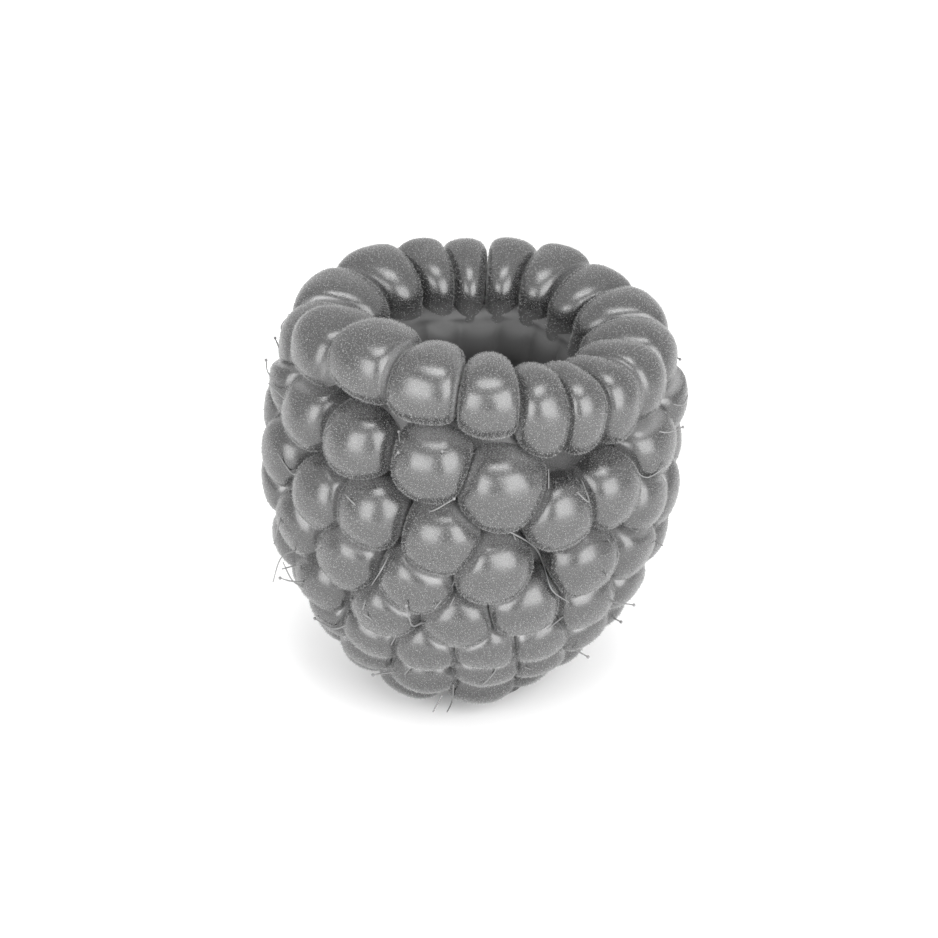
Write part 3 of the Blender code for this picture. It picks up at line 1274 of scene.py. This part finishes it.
@dataclass
class Styles:
    """The dry styles that stay on the drupelets, some ending in a small knob."""

    carriers: Sequence[bpy.types.Object]
    studio: Studio
    radius: float = 0.042
    radii: Pair = (0.85, 1.15)
    taper: Pair = (0.7, 1.15)
    knob: float = 0.085
    step: float = 0.12
    lift: float = 0.2
    sunk: float = 0.08
    far_share: float = 0.6
    far_knobbed: float = 0.6
    far_reach: Pair = (0.7, 1.3)
    far_stretch: float = 1.6
    far_bend: float = 0.5
    far_root: float = 0.3
    far_end_lift: float = 1.5
    clear: float = 3.0
    surface: BVHTree = field(init=False)

    def __post_init__(self) -> None:
        """Gathers the drupelets' surface, in metres."""
        points, faces = [], []
        for carrier in self.carriers:
            faces += [[i + len(points) for i in face.vertices] for face in carrier.data.polygons]
            points += [vertex.co.copy() for vertex in carrier.data.vertices]
        self.surface = BVHTree.FromPolygons(points, faces)

    def seen_path(self, places: Sequence[Pair]) -> list[Vector]:
        """A style over the drupelets, through places read from the picture.

        Args:
            places: Picture points from the free end or the knob to the root.

        Returns:
            The path in metres.
        """
        eye = self.studio.eye()
        rays = [(self.studio.picture_point(*place) - eye).normalized() for place in places]
        hits = [self.surface.ray_cast(eye, ray) for ray in rays]
        reached = [hit[3] for hit in hits if hit[0] is not None]
        usual = sum(reached) / len(reached) if reached else self.studio.distance()
        path = []
        for index, (ray, (place, normal, _, far)) in enumerate(zip(rays, hits)):
            away = usual if far is None else far
            out = -ray if normal is None else (normal - ray).normalized()
            lift = -self.sunk if index == len(rays) - 1 and place is not None else self.lift
            path.append(eye + ray * away + out * lift * MM)
        return path

    def far_path(self, lobe: Drupelet, draw: random.Random) -> list[Vector]:
        """A style on a drupelet that the picture doesn't show.

        Args:
            lobe: The drupelet.
            draw: Where its seeded numbers come from.

        Returns:
            The path in metres, from the free end to the root.
        """
        turn = draw.uniform(0.0, math.tau)
        along = lobe.across * math.cos(turn) + lobe.along * math.sin(turn)
        side = lobe.across * -math.sin(turn) + lobe.along * math.cos(turn)
        reach, bend = draw.uniform(*self.far_reach), draw.uniform(-self.far_bend, self.far_bend)
        path = []
        lifts = (self.lift * self.far_end_lift, self.lift, -self.sunk)
        for share, lift in zip((1.0, 0.5, 0.0), lifts):
            place = along * reach * (share - self.far_root) * self.far_stretch
            place = place + side * bend * share * share
            start = set_down((lobe.crown + lobe.outward * self.clear + place)[None], False)[0]
            end = set_down((lobe.crown + place)[None], False)[0]
            ray = Vector(end - start).normalized()
            hit = self.surface.ray_cast(Vector(start), ray)[0]
            path.append((Vector(end) if hit is None else hit) - ray * lift * MM)
        return path

    def carrier(self, paths: Sequence[tuple[list[Vector], bool]]) -> bpy.types.Object:
        """Wires along the paths, which tell where a style is thick and where it has a knob.

        Args:
            paths: Each style's path, and whether its free end has a knob.

        Returns:
            The wires' object, which the styles grow on.
        """
        points, edges, thick, knobs = [], [], [], []
        for path, knobbed in paths:
            first = len(points)
            edges += [(first + i, first + i + 1) for i in range(len(path) - 1)]
            points += path
            thick += np.linspace(*self.taper, len(path)).tolist()
            knobs += [1.0 if knobbed else 0.0] + [0.0] * (len(path) - 1)
        mesh = bpy.data.meshes.new("style_wires")
        mesh.from_pydata([tuple(point) for point in points], edges, [])
        store(mesh, "thick", thick)
        store(mesh, "knob", knobs)
        return linked("style_wires", mesh)

    def tree(self) -> GrowthTree:
        """The tree that turns wires into round hairs with knobs.

        Returns:
            The tree, ready to run on the wires.
        """
        growth = GrowthTree(
            "style_growth",
            {
                "Radius": ("NodeSocketFloat", self.radius * MM),
                "Knob": ("NodeSocketFloat", self.knob * MM),
                "Step": ("NodeSocketFloat", self.step * MM),
                "Seed": ("NodeSocketInt", 3),
                "Finish": ("NodeSocketMaterial", None),
            },
        )
        wires = growth.size("Geometry")
        curve = growth.add("GeometryNodeMeshToCurve", {}, {"Mesh": wires})
        smooth = growth.add(
            "GeometryNodeCurveSplineType", {"spline_type": "CATMULL_ROM"},
            {"Curve": curve.outputs[0]},
        )
        fine = growth.add(
            "GeometryNodeResampleCurve", {"mode": "LENGTH"},
            {"Curve": smooth.outputs[0], "Length": growth.size("Step")},
        )
        share = growth.product(growth.stored("thick"), growth.drawn(*self.radii))
        ring = growth.add(
            "GeometryNodeCurvePrimitiveCircle", {}, {"Resolution": 6, "Radius": 1.0}
        )
        tube = growth.add(
            "GeometryNodeCurveToMesh", {},
            {
                "Curve": fine.outputs[0],
                "Profile Curve": ring.outputs[0],
                "Scale": growth.product(share, growth.size("Radius")),
                "Fill Caps": True,
            },
        )
        ends = growth.add(
            "GeometryNodeMeshToPoints", {}, {"Mesh": wires, "Selection": growth.stored("knob")}
        )
        head = growth.add(
            "GeometryNodeMeshUVSphere", {}, {"Segments": 8, "Rings": 6, "Radius": 1.0}
        )
        heads = growth.add(
            "GeometryNodeInstanceOnPoints", {},
            {
                "Points": ends.outputs[0],
                "Instance": head.outputs["Mesh"],
                "Scale": growth.size("Knob"),
            },
        )
        both = growth.add("GeometryNodeJoinGeometry", {}, {"Geometry": tube.outputs[0]})
        growth.tree.links.new(heads.outputs[0], both.inputs[0])
        growth.end(both.outputs[0])
        return growth

    def make(self, hidden: Iterable[Drupelet], finish: bpy.types.Material) -> bpy.types.Object:
        """Grows every style as one piece.

        Args:
            hidden: Drupelets that the picture doesn't show.
            finish: Their material.

        Returns:
            The piece.
        """
        draw = random.Random(SEED + 2)
        paths = [(self.seen_path(places), knobbed) for knobbed, *places in STYLE_PLACES]
        for lobe in hidden:
            if draw.random() < self.far_share:
                paths.append((self.far_path(lobe, draw), draw.random() < self.far_knobbed))
        wires = self.carrier(paths)
        styles = self.tree().grow("styles", wires, {"Finish": finish})
        bpy.data.objects.remove(wires, do_unlink=True)
        return styles


@dataclass(frozen=True)
class Softbox:
    """One rectangular light turned to the fruit, in degrees, millimetres and watts."""

    name: str
    azimuth: float
    elevation: float
    distance: float
    size: Pair
    watts: float


@dataclass
class Studio:
    """Plain pale table, soft lights and the camera. The table is in metres."""

    look_at: tuple[float, float, float] = (-0.26, 0.0, 11.84)
    elevation: float = math.radians(30.0)
    frame_width: float = 46.9
    picture_width: float = 938.0
    lens: float = 300.0
    sensor: float = 36.0
    clip: Pair = (0.01, 20.0)
    table_half: float = 1.5
    room_light: float = 1.1
    softboxes: tuple[Softbox, ...] = (
        Softbox("front_right", 37.0, 22.0, 160.0, (130.0, 140.0), 0.29),
        Softbox("front_left", -35.0, 18.0, 160.0, (100.0, 120.0), 0.19),
        Softbox("overhead", 12.0, 78.0, 180.0, (110.0, 80.0), 0.17),
    )

    def distance(self) -> float:
        """Distance in metres from the camera to the middle of the picture."""
        return self.frame_width * MM * self.lens / self.sensor

    def eye(self) -> Vector:
        """Where the camera stands, in metres."""
        back = self.towards(0.0, math.degrees(self.elevation))
        return Vector(self.look_at) * MM + back * self.distance()

    def picture_point(self, right: float, down: float) -> Vector:
        """Point that a picture point shows, level with the fruit's middle.

        Args:
            right: The picture point's distance from the left edge.
            down: Its distance from the upper edge.

        Returns:
            The point in metres.
        """
        scale = self.frame_width / self.picture_width * MM
        upward = Vector((0.0, math.sin(self.elevation), math.cos(self.elevation)))
        offset = Vector((right - self.picture_width / 2, 0.0, 0.0))
        offset += upward * (self.picture_width / 2 - down)
        return Vector(self.look_at) * MM + offset * scale

    def towards(self, azimuth: float, elevation: float) -> Vector:
        """Unit vector from the fruit at an azimuth and elevation in degrees."""
        a, e = math.radians(azimuth), math.radians(elevation)
        return Vector((math.sin(a) * math.cos(e), -math.cos(a) * math.cos(e), math.sin(e)))

    def camera(self) -> None:
        """Camera at the photograph's angle, with a long lens."""
        data = bpy.data.cameras.new("camera")
        data.lens = self.lens
        data.sensor_width = self.sensor
        data.clip_start, data.clip_end = self.clip
        obj = bpy.data.objects.new("camera", data)
        back = self.towards(0.0, math.degrees(self.elevation))
        obj.location = self.eye()
        obj.rotation_euler = (-back).to_track_quat("-Z", "Y").to_euler()
        bpy.context.scene.collection.objects.link(obj)
        bpy.context.scene.camera = obj

    def light(self, box: Softbox) -> None:
        """Sets up one light.

        Args:
            box: The softbox.
        """
        data = bpy.data.lights.new(box.name, "AREA")
        data.shape = "RECTANGLE"
        data.size, data.size_y = box.size[0] * MM, box.size[1] * MM
        data.energy = box.watts
        obj = bpy.data.objects.new(box.name, data)
        back = self.towards(box.azimuth, box.elevation)
        obj.location = Vector(self.look_at) * MM + back * box.distance * MM
        obj.rotation_euler = (-back).to_track_quat("-Z", "Y").to_euler()
        bpy.context.scene.collection.objects.link(obj)

    def surroundings(self) -> None:
        """Even pale surroundings."""
        world = bpy.data.worlds.new("pale_room")
        world.use_nodes = True
        ground = world.node_tree.nodes["Background"]
        ground.inputs["Color"].default_value = (1.0, 1.0, 1.0, 1.0)
        ground.inputs["Strength"].default_value = self.room_light
        bpy.context.scene.world = world

    def table(self) -> None:
        """The pale table that the fruit stands on."""
        half = self.table_half
        corners = np.array(((-half, -half, 0), (half, -half, 0), (half, half, 0), (-half, half, 0)))
        mesh = bpy.data.meshes.new("table")
        mesh.from_pydata(corners.tolist(), [], [(0, 1, 2, 3)])
        mesh.materials.append(TableFinish().make())
        linked("table", mesh)

    def make(self) -> None:
        """Sets the whole studio up."""
        self.camera()
        self.surroundings()
        for box in self.softboxes:
            self.light(box)
        self.table()
        bpy.context.scene.view_settings.view_transform = "Standard"


def main() -> None:
    """Builds the fruit and its studio in order and reports each piece."""
    logging.basicConfig(level=logging.INFO, format="%(message)s")
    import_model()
    fruit = Fruit()
    rim, rows = fruit.rim(), fruit.rows()
    tip = [fruit.tip_drupelet(index) for index in range(fruit.tip_count)]
    everyone: list[Drupelet] = [*rim, *(lobe for row in rows for lobe in row), *tip]
    fruit.press(everyone)
    mesher = DrupeletMesher()
    skin = SkinFinish().make()
    groups = [("rim", rim)] + [(f"row_{i + 1}", row) for i, row in enumerate(rows)]
    groups.append(("tip", tip))
    drupelets = [mesher.make("drupelets_" + label, lobes, everyone) for label, lobes in groups]
    for piece in drupelets:
        piece.data.materials.append(skin)
    wall = CavityWall().make("cavity_wall")
    # The cavity wall's lower grey is painted shade in the hollow
    wall.data.materials.append(SkinFinish("cavity_skin", cave_painted_shading_grey=0.06, gloss=1.45).make())
    hair = HairFinish("down", grey=0.42).make()
    down = Down().make(drupelets, hair)
    studio = Studio()
    hidden = [lobe for lobe in everyone if lobe.lobe is Lobe.SKIN and lobe.outward[1] > FAR_SIDE]
    straw = HairFinish("style", grey=0.16).make()
    styles = Styles(drupelets, studio).make(hidden, straw)
    for piece in [*drupelets, wall, *down, styles]:
        claim(piece)
        LOG.info("%s: %d faces", piece.name, len(piece.data.polygons))
    studio.make()


if __name__ == "__main__":
    main()
